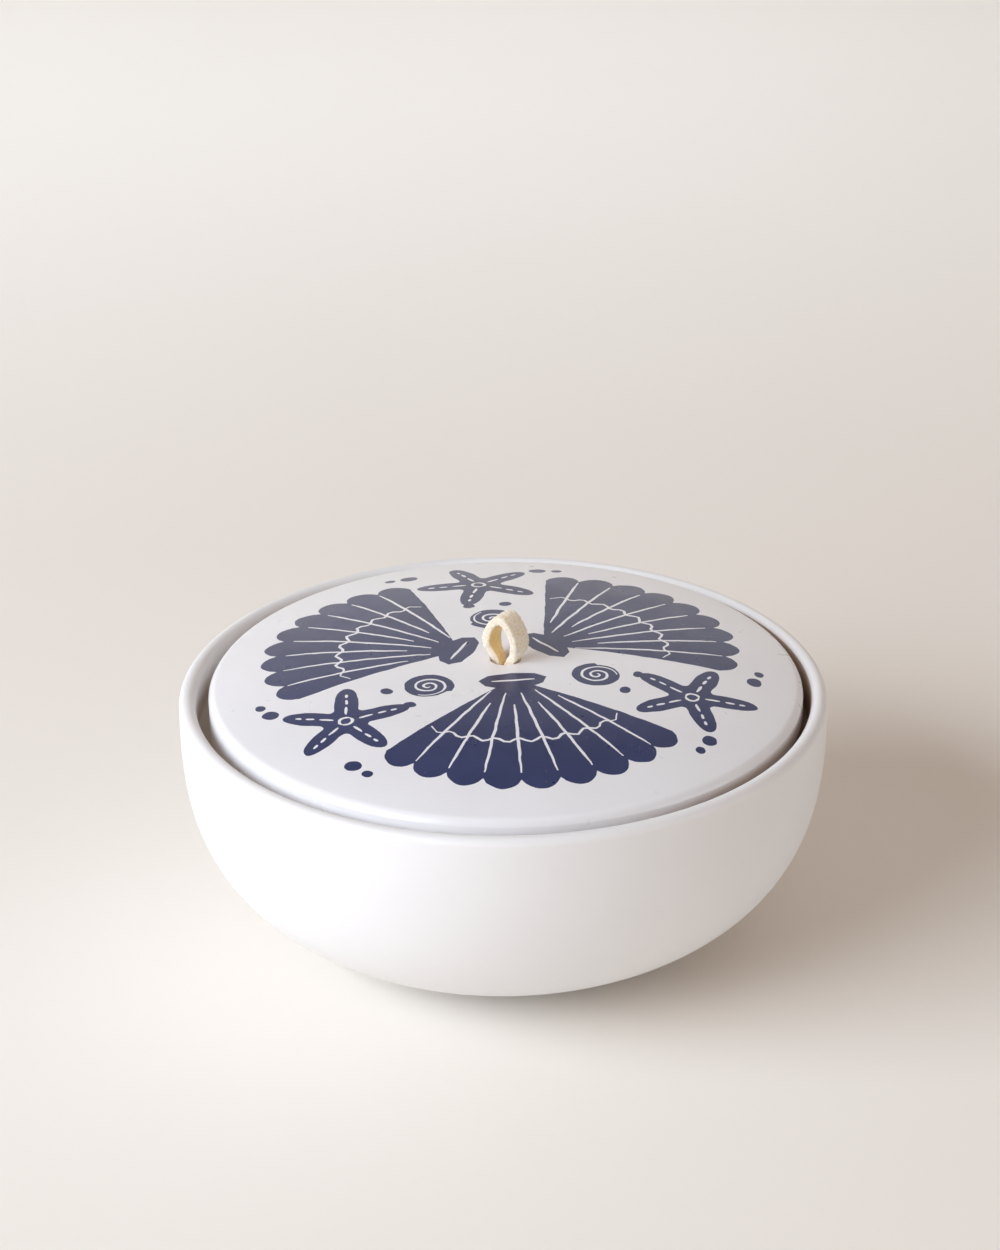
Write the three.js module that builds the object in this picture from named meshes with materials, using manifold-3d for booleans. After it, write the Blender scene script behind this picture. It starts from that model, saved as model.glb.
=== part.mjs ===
// Round trinket box: a glazed ceramic bowl, a domed ceramic lid that drops into the bowl's rim,
// and a leather lace knotted through the lid as its pull.
// Millimetres, +Z up. The origin is on the bowl's axis, in the plane that its foot stands on.
// The loop of the lace lies in the XZ plane.
import * as THREE from 'three';
import { mergeVertices } from 'three/addons/utils/BufferGeometryUtils.js';
import Module from 'manifold-3d';

// Bowl
const bowlRadius = 60;
const bowlHeight = 49;
const rimWall = 3.1;
const bowlWall = 4.2;
const floorThickness = 4;
const bellyUpright = 2.94; // exponent along the height: larger keeps the wall upright for longer
const bellyFull = 2.5; // exponent along the radius: larger makes the underside flatter
const footRadius = 25;
const footWidth = 3.5;
const footHeight = 1.55; // table to the line where the belly meets the foot ring
const footRecess = 1.2; // depth of the hollow inside the foot ring
const footRound = 0.5;

// Gallery: the ledge inside the rim that carries the lid
const galleryDepth = 8; // rim top to ledge
const galleryReach = 2.5; // how far the ledge reaches in under the lid's edge
const galleryNose = 2.2; // upright height of the ledge's inner edge
const galleryHaunch = 8; // height over which the ledge's underside runs back into the wall
const galleryRound = 0.8;

// Lid
const lidClearance = 1.9; // ring gap between the lid's edge and the rim
const seatGap = 0.3; // lid to ledge
const lidThickness = 4.4;
const lidEdge = 7.45; // bearing face to the widest circle of the edge
const lidRise = 6.1; // widest circle to the crown
const lidDrop = 1.1; // widest circle to where the dome would meet the edge without its round
const lidFull = 2.8; // exponent of the dome: larger is flatter in the middle, steeper at the edge
const lidShoulder = 1.5; // width over which the top turns down into the edge
const lidSharpness = 0.6; // of that turn: 0 is a slope, 1 is a corner
const lidHeel = 1; // lower edge radius
const lidShift = 0.5; // the loose lid lies this far to one side in its clearance
const lidShiftAngle = 33; // degrees from +X
const bearingWidth = 3.5; // flat ring under the lid's edge
const bearingSlope = 1.2; // width of the slope from that ring up into the hollow
const holeRound = 0.4;

// Lace
const laceWidth = 4.9;
const laceNeck = 2.9; // width where the lace is squeezed in the hole and the knot
const laceThickness = 1.8;
const laceCorner = 0.4;
const strandGap = 0.2; // between the two strands in the hole
const laceClearance = 0.4; // lace to the wall of the hole
const loopHeight = 9.15; // above the crown of the lid
const loopWidth = 7.9;
const loopBelly = 3.7; // height of the loop's widest point above the crown
const loopNeck = 2; // depth below the crown where the two strands come together
const loopEase = 1.9; // length of the curve's handle at the neck
const loopSag = 2.5; // handle below the widest point: larger is fuller
const loopCrest = 1.3; // handle above the widest point
const loopTip = 1.6; // handle at the tip: smaller is more pointed
const knotGap = 0.3; // knot to the underside of the lid
const knotTurns = 1.35;
const knotBand = 3.8; // width of the wrap, creased narrower than the lace
const knotTurnGap = 0.25; // between one turn of the wrap and the next
const knotTilt = 1.5; // rise and fall of the wrap as it goes round
const knotTuck = 0.2; // share of the wrap over which each end swells out of the core
const knotRoot = 0.3; // size of the wrap's ends, buried in the core
const tailLength = 8;
const tailSpread = 3.4; // how far each tail's end swings out

// Fineness of the round surfaces
const ringSegments = 60;
const bellySteps = 14;
const arcSteps = 4;
const laceSteps = 7;
const wrapSteps = 30;

// Derived sizes
const rimRound = rimWall / 2;
const rimInner = bowlRadius - rimWall;
const galleryZ = bowlHeight - galleryDepth;
const lidRadius = rimInner - lidClearance;
const galleryInner = lidRadius - galleryReach;
const floorZ = footRecess + floorThickness;
const seatZ = galleryZ + seatGap;
const edgeZ = seatZ + lidEdge;
const crownZ = edgeZ + lidRise;
const strandX = (laceThickness + strandGap) / 2;
const holeRadius = Math.hypot(laceNeck / 2, strandX + laceThickness / 2) + laceClearance;

const wasm = await Module();
wasm.setup();

const vec2 = (x, y) => new THREE.Vector2(x, y);
const vec3 = (x, y, z) => new THREE.Vector3(x, y, z);

// Points of a circular arc in a profile, both ends included; angles in degrees.
function arc(r, z, radius, from, to, steps = arcSteps) {
  const points = [];
  for (let i = 0; i <= steps; i++) {
    const angle = THREE.MathUtils.degToRad(from + ((to - from) * i) / steps);
    points.push(vec2(r + radius * Math.cos(angle), z + radius * Math.sin(angle)));
  }
  return points;
}

// A solid of revolution about Z from a profile of (radius, height) points.
function revolve(profile) {
  const geometry = new THREE.LatheGeometry(profile, ringSegments);
  return geometry.rotateX(Math.PI / 2);
}

// The belly is a superellipse from the rim's round down to a foot that cuts off its flat bottom.
const footAngle = Math.acos((footRadius / bowlRadius) ** (bellyFull / 2));
const bellyTopZ = bowlHeight - rimRound;
const bellyDepth = (bellyTopZ - footHeight) / Math.sin(footAngle) ** (2 / bellyUpright);
const heelWall = floorZ - (bellyTopZ - bellyDepth);

function belly(angle) {
  const radius = bowlRadius * Math.max(Math.cos(angle), 0) ** (2 / bellyFull);
  return vec2(radius, bellyTopZ - bellyDepth * Math.sin(angle) ** (2 / bellyUpright));
}

// The inside of the wall: the belly moved in along its normal, and thicker towards the floor.
function inside(angle) {
  const step = 1e-4;
  const along = belly(angle + step).sub(belly(angle - step)).normalize();
  const wall = bowlWall + (heelWall - bowlWall) * Math.sin(angle) ** 8;
  return belly(angle).add(vec2(along.y, -along.x).multiplyScalar(wall));
}

// The belly angle at which the inside of the wall is at a given height.
function insideAngleAt(z) {
  let low = 0.01;
  let high = Math.PI / 2 - 0.01;
  for (let i = 0; i < 40; i++) {
    const middle = (low + high) / 2;
    if (inside(middle).y > z) low = middle;
    else high = middle;
  }
  return low;
}

function bowlGeometry() {
  const footInner = footRadius - footWidth;
  const profile = [
    vec2(0, footRecess),
    vec2(footInner - footRecess, footRecess),
    vec2(footInner, footRound),
    ...arc(footInner + footRound, footRound, footRound, 225, 270, 1),
    ...arc(footRadius - footRound, footRound, footRound, 270, 360, 2),
  ];
  for (let i = 0; i < bellySteps; i++) {
    profile.push(belly(footAngle * (1 - i / bellySteps)));
  }
  profile.push(...arc(bowlRadius - rimRound, bellyTopZ, rimRound, 0, 180, 2 * arcSteps));
  profile.push(vec2(rimInner, galleryZ + galleryRound));
  profile.push(vec2(rimInner - galleryRound, galleryZ));
  profile.push(...arc(galleryInner + galleryRound, galleryZ - galleryRound, galleryRound, 90, 180));

  // The ledge's underside runs back into the wall in one easy curve.
  const noseZ = galleryZ - galleryRound - galleryNose;
  const haunchAngle = insideAngleAt(noseZ - galleryHaunch);
  const haunchFoot = inside(haunchAngle);
  const wallUp = inside(haunchAngle - 1e-3).sub(haunchFoot).setLength(galleryHaunch / 2);
  const haunch = new THREE.CubicBezierCurve(
    vec2(galleryInner, noseZ),
    vec2(galleryInner, noseZ - galleryHaunch / 2),
    haunchFoot.clone().add(wallUp),
    haunchFoot,
  );
  profile.push(...haunch.getPoints(arcSteps + 1));
  for (let i = 1; i < bellySteps; i++) {
    profile.push(inside(haunchAngle + ((Math.PI / 2 - haunchAngle) * i) / bellySteps));
  }
  profile.push(vec2(0, floorZ));
  return revolve(profile);
}

// The lid's top is a shallow dome.
const domeSag = lidRise - lidDrop;

// A point of that dome, or of a like surface at a depth below it, at a distance from the axis.
function dome(r, depth = 0) {
  return vec2(r, crownZ - domeSag * (r / lidRadius) ** lidFull - depth);
}

// The curve from the widest circle up into the dome.
function lidTurn(steps) {
  const edge = vec2(lidRadius, edgeZ);
  const top = dome(lidRadius - lidShoulder);
  const slope = ((lidFull * domeSag) / lidRadius) * (top.x / lidRadius) ** (lidFull - 1);
  const corner = vec2(lidRadius, top.y - slope * lidShoulder);
  const fromEdge = edge.clone().lerp(corner, lidSharpness);
  const fromTop = top.clone().lerp(corner, lidSharpness);
  return new THREE.CubicBezierCurve(edge, fromEdge, fromTop, top).getPoints(steps);
}

function lidGeometry() {
  const bearingInner = lidRadius - lidHeel - bearingWidth;
  const hollow = bearingInner - bearingSlope;
  const holeEdge = holeRadius + holeRound;
  const underHole = dome(holeEdge, lidThickness);
  const topHole = dome(holeEdge);
  const domeSteps = 6;
  const profile = [underHole];
  for (let i = 1; i <= domeSteps; i++) {
    profile.push(dome(holeEdge + ((hollow - holeEdge) * i) / domeSteps, lidThickness));
  }
  profile.push(vec2(bearingInner, seatZ));
  profile.push(...arc(lidRadius - lidHeel, seatZ + lidHeel, lidHeel, 270, 360, 3));
  profile.push(...lidTurn(arcSteps + 3));
  const shoulder = profile.at(-1).x;
  for (let i = 1; i <= domeSteps; i++) {
    profile.push(dome(shoulder + ((holeEdge - shoulder) * i) / domeSteps));
  }
  profile.push(...arc(holeEdge, topHole.y - holeRound, holeRound, 120, 180, 2));
  profile.push(...arc(holeEdge, underHole.y + holeRound, holeRound, 180, 240, 2));
  profile.push(underHole.clone());
  return revolve(profile);
}

// Outline of a flat strap's section, with rounded corners.
function strapOutline(width, thickness, corner) {
  const x = width / 2 - corner;
  const y = thickness / 2 - corner;
  const shape = new THREE.Shape();
  shape.absarc(x, y, corner, 0, Math.PI / 2);
  shape.absarc(-x, y, corner, Math.PI / 2, Math.PI);
  shape.absarc(-x, -y, corner, Math.PI, 1.5 * Math.PI);
  shape.absarc(x, -y, corner, 1.5 * Math.PI, 2 * Math.PI);
  return shape.getPoints(2).slice(0, -1);
}

// A closed strap: the outline carried along a line of points, with its width along across.
// At point i, widen(i) scales the outline's width and thicken(i) its thickness.
function strap(points, across, outline, widen, thicken) {
  const count = outline.length;
  const positions = [];
  const faces = [];
  points.forEach((point, i) => {
    const before = points[Math.max(i - 1, 0)];
    const after = points[Math.min(i + 1, points.length - 1)];
    const along = after.clone().sub(before).normalize();
    const through = along.clone().cross(across).normalize();
    const wide = through.clone().cross(along);
    outline.forEach((corner) => {
      const place = point.clone().addScaledVector(wide, widen(i) * corner.x);
      place.addScaledVector(through, thicken(i) * corner.y);
      positions.push(...place.toArray());
    });
  });
  for (let i = 0; i + 1 < points.length; i++) {
    for (let j = 0; j < count; j++) {
      const a = i * count + j;
      const b = i * count + ((j + 1) % count);
      faces.push(a, b, b + count, a, b + count, a + count);
    }
  }
  const last = (points.length - 1) * count;
  for (let j = 1; j + 1 < count; j++) {
    faces.push(0, j + 1, j, last, last + j, last + j + 1);
  }
  const geometry = new THREE.BufferGeometry();
  geometry.setAttribute('position', new THREE.Float32BufferAttribute(positions, 3));
  return geometry.setIndex(faces);
}

// Joining closed geometries into one body.
function toSolid(geometry) {
  const bare = geometry.clone();
  bare.deleteAttribute('normal');
  bare.deleteAttribute('uv');
  const merged = mergeVertices(bare, 1e-4);
  const vertProperties = new Float32Array(merged.attributes.position.array);
  const triVerts = new Uint32Array(merged.index.array);
  return new wasm.Manifold(new wasm.Mesh({ numProp: 3, vertProperties, triVerts }));
}

function join(geometries) {
  const solid = geometries.map(toSolid).reduce((all, next) => all.add(next));
  const mesh = solid.getMesh();
  const geometry = new THREE.BufferGeometry();
  geometry.setAttribute('position', new THREE.BufferAttribute(mesh.vertProperties, 3));
  geometry.setIndex(new THREE.BufferAttribute(mesh.triVerts, 1));
  return geometry;
}

// The lace's centre line: a tail, up through the hole, round the loop and down to the other tail.
function laceLine(knotBottomZ) {
  const tailZ = knotBottomZ - tailLength;
  const neckZ = crownZ - loopNeck;
  const bellyX = (loopWidth - laceThickness) / 2;
  const bellyZ = crownZ + loopBelly;
  const tipZ = crownZ + loopHeight - laceThickness / 2;
  const half = (side) => {
    const at = (x, z) => vec3(side * x, 0, z);
    const bend = (...points) => new THREE.CubicBezierCurve3(...points);
    const path = new THREE.CurvePath();
    path.add(
      bend(
        at(tailSpread, tailZ),
        at((tailSpread + strandX) / 2, tailZ + tailLength / 3),
        at(strandX, knotBottomZ - tailLength / 3),
        at(strandX, knotBottomZ),
      ),
    );
    path.add(new THREE.LineCurve3(at(strandX, knotBottomZ), at(strandX, neckZ)));
    path.add(
      bend(
        at(strandX, neckZ),
        at(strandX, neckZ + loopEase),
        at(bellyX, bellyZ - loopSag),
        at(bellyX, bellyZ),
      ),
    );
    path.add(
      bend(at(bellyX, bellyZ), at(bellyX, bellyZ + loopCrest), at(loopTip, tipZ), at(0, tipZ)),
    );
    return path.getPoints(laceSteps);
  };
  return [...half(-1), ...half(1).reverse().slice(1)];
}

// The lace's width at a height: full in the loop and at the tails' ends, squeezed between.
function laceWidthAt(z, knotBottomZ) {
  const { smoothstep } = THREE.MathUtils;
  const up = smoothstep(z, crownZ, crownZ + loopBelly);
  const down = smoothstep(knotBottomZ - z, 0, tailLength);
  return laceNeck + (laceWidth - laceNeck) * Math.max(up, down);
}

// How far the knot's wrap has swelled out of the core at a step along it.
function wrapSwell(i) {
  const fromEnd = Math.min(i, wrapSteps - i) / wrapSteps;
  const ease = Math.sin((Math.PI / 2) * Math.min(1, fromEnd / knotTuck));
  return knotRoot + (1 - knotRoot) * ease;
}

// The knot's wrap: both strands laid round themselves, coming out of the core at the top and
// tucked into it again at the bottom.
function wrapLine(topZ, bundle) {
  const reachX = bundle - strandGap;
  const reachY = (laceNeck + bundle) / 2 - strandGap;
  const drop = knotTurns * (knotBand + knotTurnGap);
  const points = [];
  for (let i = 0; i <= wrapSteps; i++) {
    const angle = (2 * Math.PI * knotTurns * i) / wrapSteps;
    const x = wrapSwell(i) * reachX * Math.cos(angle);
    const y = wrapSwell(i) * reachY * Math.sin(angle);
    points.push(vec3(x, y, knotTilt * Math.sin(angle) - (drop * i) / wrapSteps));
  }
  const highest = Math.max(...points.map((point) => point.z));
  points.forEach((point) => point.setZ(point.z + topZ - highest));
  return points;
}

// One lace, its two strands knotted together under the lid.
function laceGeometry() {
  const bundle = 2 * laceThickness + strandGap;
  const wrapCentre = wrapLine(crownZ - lidThickness - knotGap - knotBand / 2, bundle);
  const knotBottomZ = Math.min(...wrapCentre.map((point) => point.z)) - knotBand / 2;
  const laceCentre = laceLine(knotBottomZ);
  const laceOutline = strapOutline(laceWidth, laceThickness, laceCorner);
  const wrapOutline = strapOutline(knotBand, bundle, 3 * laceCorner);
  const squeeze = (i) => laceWidthAt(laceCentre[i].z, knotBottomZ) / laceWidth;
  const lace = strap(laceCentre, vec3(0, 1, 0), laceOutline, squeeze, () => 1);
  const wrap = strap(wrapCentre, vec3(0, 0, 1), wrapOutline, wrapSwell, wrapSwell);
  return join([lace, wrap]);
}

function piece(name, geometry, look) {
  const mesh = new THREE.Mesh(geometry, new THREE.MeshStandardMaterial(look));
  mesh.name = name;
  return mesh;
}

// The lid and its lace, where the lid lies in the bowl.
const cover = new THREE.Group();
const shiftAngle = THREE.MathUtils.degToRad(lidShiftAngle);
cover.position.set(lidShift * Math.cos(shiftAngle), lidShift * Math.sin(shiftAngle), 0);
cover.add(
  piece('lid', lidGeometry(), { color: '#e9e8ee', roughness: 0.3, metalness: 0 }),
  piece('pull_loop', laceGeometry(), { color: '#f0ddb8', roughness: 0.9, metalness: 0 }),
);

const trinketBox = new THREE.Group();
trinketBox.add(
  piece('bowl', bowlGeometry(), { color: '#f1efec', roughness: 0.5, metalness: 0 }),
  cover,
);

export default trinketBox;
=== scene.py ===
"""Round ceramic trinket box: a white bowl, a domed lid printed in navy, and a leather lace as its pull."""

import math

import bmesh
import bpy
from mathutils import Matrix, Vector, noise
from mathutils.geometry import delaunay_2d_cdt


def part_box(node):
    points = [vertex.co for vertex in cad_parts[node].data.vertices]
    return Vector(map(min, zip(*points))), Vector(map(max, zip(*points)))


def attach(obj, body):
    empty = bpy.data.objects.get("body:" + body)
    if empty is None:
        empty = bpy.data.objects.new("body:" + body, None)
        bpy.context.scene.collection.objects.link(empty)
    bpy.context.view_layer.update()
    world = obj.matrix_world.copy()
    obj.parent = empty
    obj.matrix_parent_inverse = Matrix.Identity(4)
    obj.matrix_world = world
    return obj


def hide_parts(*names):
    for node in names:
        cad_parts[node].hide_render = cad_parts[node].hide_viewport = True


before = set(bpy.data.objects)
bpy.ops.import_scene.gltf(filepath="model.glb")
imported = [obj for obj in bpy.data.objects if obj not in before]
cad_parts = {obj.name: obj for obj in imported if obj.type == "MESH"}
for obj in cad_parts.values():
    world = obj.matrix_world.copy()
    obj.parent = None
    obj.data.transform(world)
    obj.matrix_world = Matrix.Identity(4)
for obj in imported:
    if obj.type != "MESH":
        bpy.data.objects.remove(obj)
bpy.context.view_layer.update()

MM = 0.001
TAU = 2 * math.pi

# Sizes of the pieces in millimetres. The outer sizes come from the CAD parts.
_, BOWL_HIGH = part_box("bowl")
LID_LOW, LID_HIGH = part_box("lid")
BOWL_RADIUS = BOWL_HIGH.x / MM
BOWL_HEIGHT = BOWL_HIGH.z / MM
LID_RADIUS = (LID_HIGH.x - LID_LOW.x) / 2 / MM
LID_CENTRE_X = (LID_HIGH.x + LID_LOW.x) / 2 / MM
LID_CENTRE_Y = (LID_HIGH.y + LID_LOW.y) / 2 / MM
SEAT_Z = LID_LOW.z / MM

# Sizes of the bowl, and of the gallery inside its rim that carries the lid
RIM_WALL = 3.1
BOWL_WALL = 4.2
FLOOR_Z = 5.2
BELLY_UPRIGHT = 2.94  # exponent along the height: larger keeps the wall upright for longer
BELLY_FULL = 2.5  # exponent along the radius: larger makes the underside flatter
HEEL_POWER = 8  # how late the wall thickens towards the floor
FOOT_RADIUS = 25.0
FOOT_WIDTH = 3.5
FOOT_HEIGHT = 1.55  # table to the line where the belly meets the foot ring
FOOT_RECESS = 1.2  # depth of the hollow inside the foot ring
FOOT_ROUND = 0.5
GALLERY_DEPTH = 8.0  # rim top to ledge
GALLERY_REACH = 2.5  # how far the ledge reaches in under the lid's edge
GALLERY_NOSE = 2.2  # upright height of the ledge's inner edge
GALLERY_HAUNCH = 8.0  # height over which the ledge's underside runs back into the wall
GALLERY_ROUND = 0.8

# Sizes of the lid
LID_THICKNESS = 4.4
LID_EDGE = 7.45  # bearing face to the widest circle of the edge
LID_RISE = 6.1  # widest circle to the crown
LID_DROP = 1.1  # widest circle to where the dome would meet the edge without its round
LID_FULL = 2.8  # exponent of the dome: larger is flatter in the middle, steeper at the edge
LID_SHOULDER = 1.5  # width over which the top turns down into the edge
LID_SHARPNESS = 0.65  # of that turn: 0 is a slope, 1 is a corner
LID_DRAFT = 0.4  # how far the edge leans in under the shoulder
LID_HEEL = 1.0  # lower edge radius
BEARING_WIDTH = 3.5  # flat ring under the lid's edge
BEARING_SLOPE = 1.2  # width of the slope from that ring up into the hollow
HOLE_ROUND = 0.4

# Sizes of the lace
LACE_WIDTH = 4.9
LACE_NECK = 2.9  # width where the lace is squeezed in the hole and the knot
LACE_THICKNESS = 1.8
LACE_CORNER = 0.45
STRAND_GAP = 0.2  # between the two strands in the hole
LACE_CLEARANCE = 0.4  # lace to the wall of the hole
LOOP_HEIGHT = 9.15  # above the crown of the lid
LOOP_WIDTH = 7.9
LOOP_BELLY = 3.7  # height of the loop's widest point above the crown
LOOP_NECK = 2.0  # depth below the crown where the two strands come together
LOOP_EASE = 1.9  # length of the curve's handle at the neck
LOOP_SAG = 2.5  # handle below the widest point: larger is fuller
LOOP_CREST = 1.3  # handle above the widest point
LOOP_TIP = 1.6  # handle at the tip: smaller is more pointed
KNOT_GAP = 0.3  # knot to the underside of the lid
KNOT_TURNS = 1.35
KNOT_BAND = 3.8  # width of the wrap, creased narrower than the lace
KNOT_CORNER = 1.2
KNOT_TURN_GAP = 0.25  # between one turn of the wrap and the next
KNOT_TILT = 1.5  # rise and fall of the wrap as it goes round
KNOT_TUCK = 0.2  # share of the wrap over which each end swells out of the core
KNOT_ROOT = 0.3  # size of the wrap's ends, buried in the core
TAIL_LENGTH = 8.0
TAIL_SPREAD = 3.4  # how far each tail's end swings out

# Where the glaze ends, how the clay below it is tinted, and the shade painted on that clay
RIM_GLAZED = 2.9  # from the bowl's outer face over the rim to the bare clay of the gallery
FOOT_BARE = 0.3  # height of the bare clay on the foot ring
LID_GLAZED_EDGE = 3.2  # from the lid's widest circle down to its bare clay
WASH_AND_SHADE_HIGH, WASH_AND_SHADE_LOW = 1.0, 8.0  # depths below the rim between which a thin wash of glaze fades out, with painted shade: the clay is painted darker deeper in the gallery
PAINTED_SHADE_START, PAINTED_SHADE_END = 15.0, 45.0  # painted shade: how far out towards the right, as the camera sees it, the clay is painted browner and darker, where the lid shades the gallery wall
SLACK = 0.01  # for deciding on which side of a line a point lies

# Fineness of the curves
RING_SEGMENTS = 240
WALL_STEPS = 90
RIM_STEPS = 24
SHOULDER_STEPS = 20
ROUND_STEPS = 8
LOOP_STEPS = 60
WRAP_STEPS = 150
LACE_STEP = 0.12

EDGE_Z = SEAT_Z + LID_EDGE
CROWN_Z = EDGE_Z + LID_RISE
STRAND_X = (LACE_THICKNESS + STRAND_GAP) / 2
HOLE_RADIUS = math.hypot(LACE_NECK / 2, STRAND_X + LACE_THICKNESS / 2) + LACE_CLEARANCE
HOLE_EDGE = HOLE_RADIUS + HOLE_ROUND

# The photograph's camera: its turn about the upright axis, then its place in metres and its tilt
CAMERA_TURN = math.radians(33)
CAMERA_PLACE = Vector((-0.0005, -0.6286, 0.357))
CAMERA_PITCH = math.radians(25.17)
CAMERA_ROLL = math.radians(-0.35)
FOCAL_PIXELS = 3775
IMAGE_LONG_PIXELS = 1250
SENSOR_MM = 36


# Helpers for curves and meshes

def arc(r, z, radius, start, end, steps):
    """Points of an arc in a profile, both ends included; angles in degrees."""
    points = []
    for i in range(steps + 1):
        angle = math.radians(start + (end - start) * i / steps)
        points.append((r + radius * math.cos(angle), z + radius * math.sin(angle)))
    return points


def bezier(a, b, c, d, steps):
    """Points of a cubic curve, both ends included."""
    handles = (a, b, c, d)
    points = []
    for i in range(steps + 1):
        t = i / steps
        s = 1 - t
        weights = (s**3, 3 * s * s * t, 3 * s * t * t, t**3)
        points.append(tuple(sum(w * p[k] for w, p in zip(weights, handles)) for k in range(len(a))))
    return points


def straight(start, end, steps=8):
    """Points of a straight line, both ends included."""
    (x0, y0), (x1, y1) = start, end
    return [(x0 + (x1 - x0) * i / steps, y0 + (y1 - y0) * i / steps) for i in range(steps + 1)]


def polar(reach, angle):
    return (reach * math.cos(angle), reach * math.sin(angle))


def round_outline(steps, reach_at):
    """A closed outline about the origin, with its reach for each direction."""
    angles = [TAU * i / steps for i in range(steps)]
    return [polar(reach_at(angle), angle) for angle in angles]


def mesh_object(name, vertices, faces, materials, face_slots=None, merge=0.0):
    """A smooth-shaded mesh object from points in millimetres."""
    mesh = bpy.data.meshes.new(name)
    mesh.from_pydata([Vector(v) * MM for v in vertices], [], faces)
    for material in materials:
        mesh.materials.append(material)
    if face_slots:
        mesh.polygons.foreach_set("material_index", face_slots)
    mesh.polygons.foreach_set("use_smooth", [True] * len(mesh.polygons))
    mesh.update()
    obj = bpy.data.objects.new(name, mesh)
    bpy.context.scene.collection.objects.link(obj)
    if merge:
        weld(mesh, merge)
    return obj


def weld(mesh, distance):
    """Joins points that lie closer than distance, in metres."""
    bm = bmesh.new()
    bm.from_mesh(mesh)
    bmesh.ops.remove_doubles(bm, verts=bm.verts, dist=distance)
    bmesh.ops.recalc_face_normals(bm, faces=bm.faces)
    bm.to_mesh(mesh)
    bm.free()
    mesh.update()


def revolve(profile):
    """Points and faces of a profile of (radius, height) turned about the axis."""
    near_axis = 1e-6
    vertices = []
    faces = []
    rings = []
    for r, z in profile:
        if r < near_axis:
            rings.append([len(vertices)] * RING_SEGMENTS)
            vertices.append((0, 0, z))
            continue
        rings.append(list(range(len(vertices), len(vertices) + RING_SEGMENTS)))
        for x, y in round_outline(RING_SEGMENTS, lambda angle: r):
            vertices.append((x, y, z))
    for low, high in zip(rings, rings[1:]):
        for k in range(RING_SEGMENTS):
            n = (k + 1) % RING_SEGMENTS
            corners = []
            for corner in (low[k], low[n], high[n], high[k]):
                if corner not in corners:
                    corners.append(corner)
            faces.append(corners)
    return vertices, faces


# Materials

MIX_FACTOR, MIX_A, MIX_B = 0, 6, 7  # inputs of a node that mixes colours
MIX_RESULT = 2


class Nodes:
    """The node tree of a material or a world, with a short way to add and link its nodes."""

    def __init__(self, owner):
        owner.use_nodes = True
        self.tree = owner.node_tree

    def feed(self, socket, value):
        """Links a value that comes from another node, and sets any other."""
        if isinstance(value, bpy.types.NodeSocket):
            self.tree.links.new(value, socket)
        else:
            socket.default_value = value

    def add(self, kind, inputs=None, **settings):
        node = self.tree.nodes.new(kind)
        for key, value in settings.items():
            setattr(node, key, value)
        for key, value in (inputs or {}).items():
            self.feed(node.inputs[key], value)
        return node

    def ramp(self, value, low, high, to_low=0.0, to_high=1.0):
        """value from low to high, mapped to to_low to to_high and held there."""
        inputs = {0: value, 1: low, 2: high, 3: to_low, 4: to_high}
        return self.add("ShaderNodeMapRange", inputs, interpolation_type="SMOOTHSTEP").outputs[0]

    def math(self, operation, a, b):
        return self.add("ShaderNodeMath", {0: a, 1: b}, operation=operation).outputs[0]

    def mix(self, factor, a, b):
        """Colour a to colour b by factor."""
        inputs = {MIX_FACTOR: factor, MIX_A: a, MIX_B: b}
        return self.add("ShaderNodeMix", inputs, data_type="RGBA").outputs[MIX_RESULT]


class Surface(Nodes):
    """A material, with the patterns that its colour and relief are made of."""

    def __init__(self, name):
        self.material = bpy.data.materials.new(name)
        super().__init__(self.material)
        self.shader = self.tree.nodes["Principled BSDF"]
        self.place = self.add("ShaderNodeTexCoord").outputs["Object"]

    def noise(self, size_mm, detail=2.0, roughness=0.5):
        """A noise from 0 to 1 with features of about the given size."""
        scale = 1 / (size_mm * MM)
        inputs = {"Vector": self.place, "Scale": scale, "Detail": detail, "Roughness": roughness}
        return self.add("ShaderNodeTexNoise", inputs).outputs["Fac"]

    def specks(self, spacing_mm, radius, share):
        """Round dots in a share of the cells of a random pattern; radius is part of a cell."""
        solid = 0.6
        inputs = {"Vector": self.place, "Scale": 1 / (spacing_mm * MM)}
        cells = self.add("ShaderNodeTexVoronoi", inputs)
        chosen = self.add("ShaderNodeSeparateColor", {0: cells.outputs["Color"]}).outputs[0]
        dot = self.ramp(cells.outputs["Distance"], radius * solid, radius, 1.0, 0.0)
        return self.math("MULTIPLY", dot, self.math("LESS_THAN", chosen, share))

    def finish(self, colour, roughness, bump=None, depth_mm=0.02, **constants):
        """Links the colour, roughness and bump to the shader, and sets its constants."""
        self.feed(self.shader.inputs["Base Color"], colour)
        self.feed(self.shader.inputs["Roughness"], roughness)
        if bump is not None:
            inputs = {"Height": bump, "Distance": depth_mm * MM, "Strength": 1.0}
            normal = self.add("ShaderNodeBump", inputs).outputs["Normal"]
            self.feed(self.shader.inputs["Normal"], normal)
        for key, value in constants.items():
            self.shader.inputs[key.replace("_", " ")].default_value = value
        return self.material


def rgba(r, g, b):
    return (r, g, b, 1.0)


def glaze(name, pale, deep, dot, roughness, dot_spacing, dot_radius, dot_share):
    """A satin glaze: faint clouding, a soft orange peel, and small dots that came up in the firing."""
    dot_strength = 0.75
    grit_depth = 0.12
    n = Surface(name)
    clouds = n.ramp(n.noise(14.0, detail=3.0), 0.3, 0.7)
    dots = n.math("MULTIPLY", n.specks(dot_spacing, dot_radius, dot_share), dot_strength)
    colour = n.mix(dots, n.mix(clouds, deep, pale), dot)
    peel = n.math("ADD", n.noise(2.4), n.math("MULTIPLY", n.noise(0.35), grit_depth))
    finish = n.ramp(n.noise(5.0, detail=3.0), 0.25, 0.75, roughness - 0.03, roughness + 0.04)
    return n.finish(colour, finish, peel, depth_mm=0.012, IOR=1.6)


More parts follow.
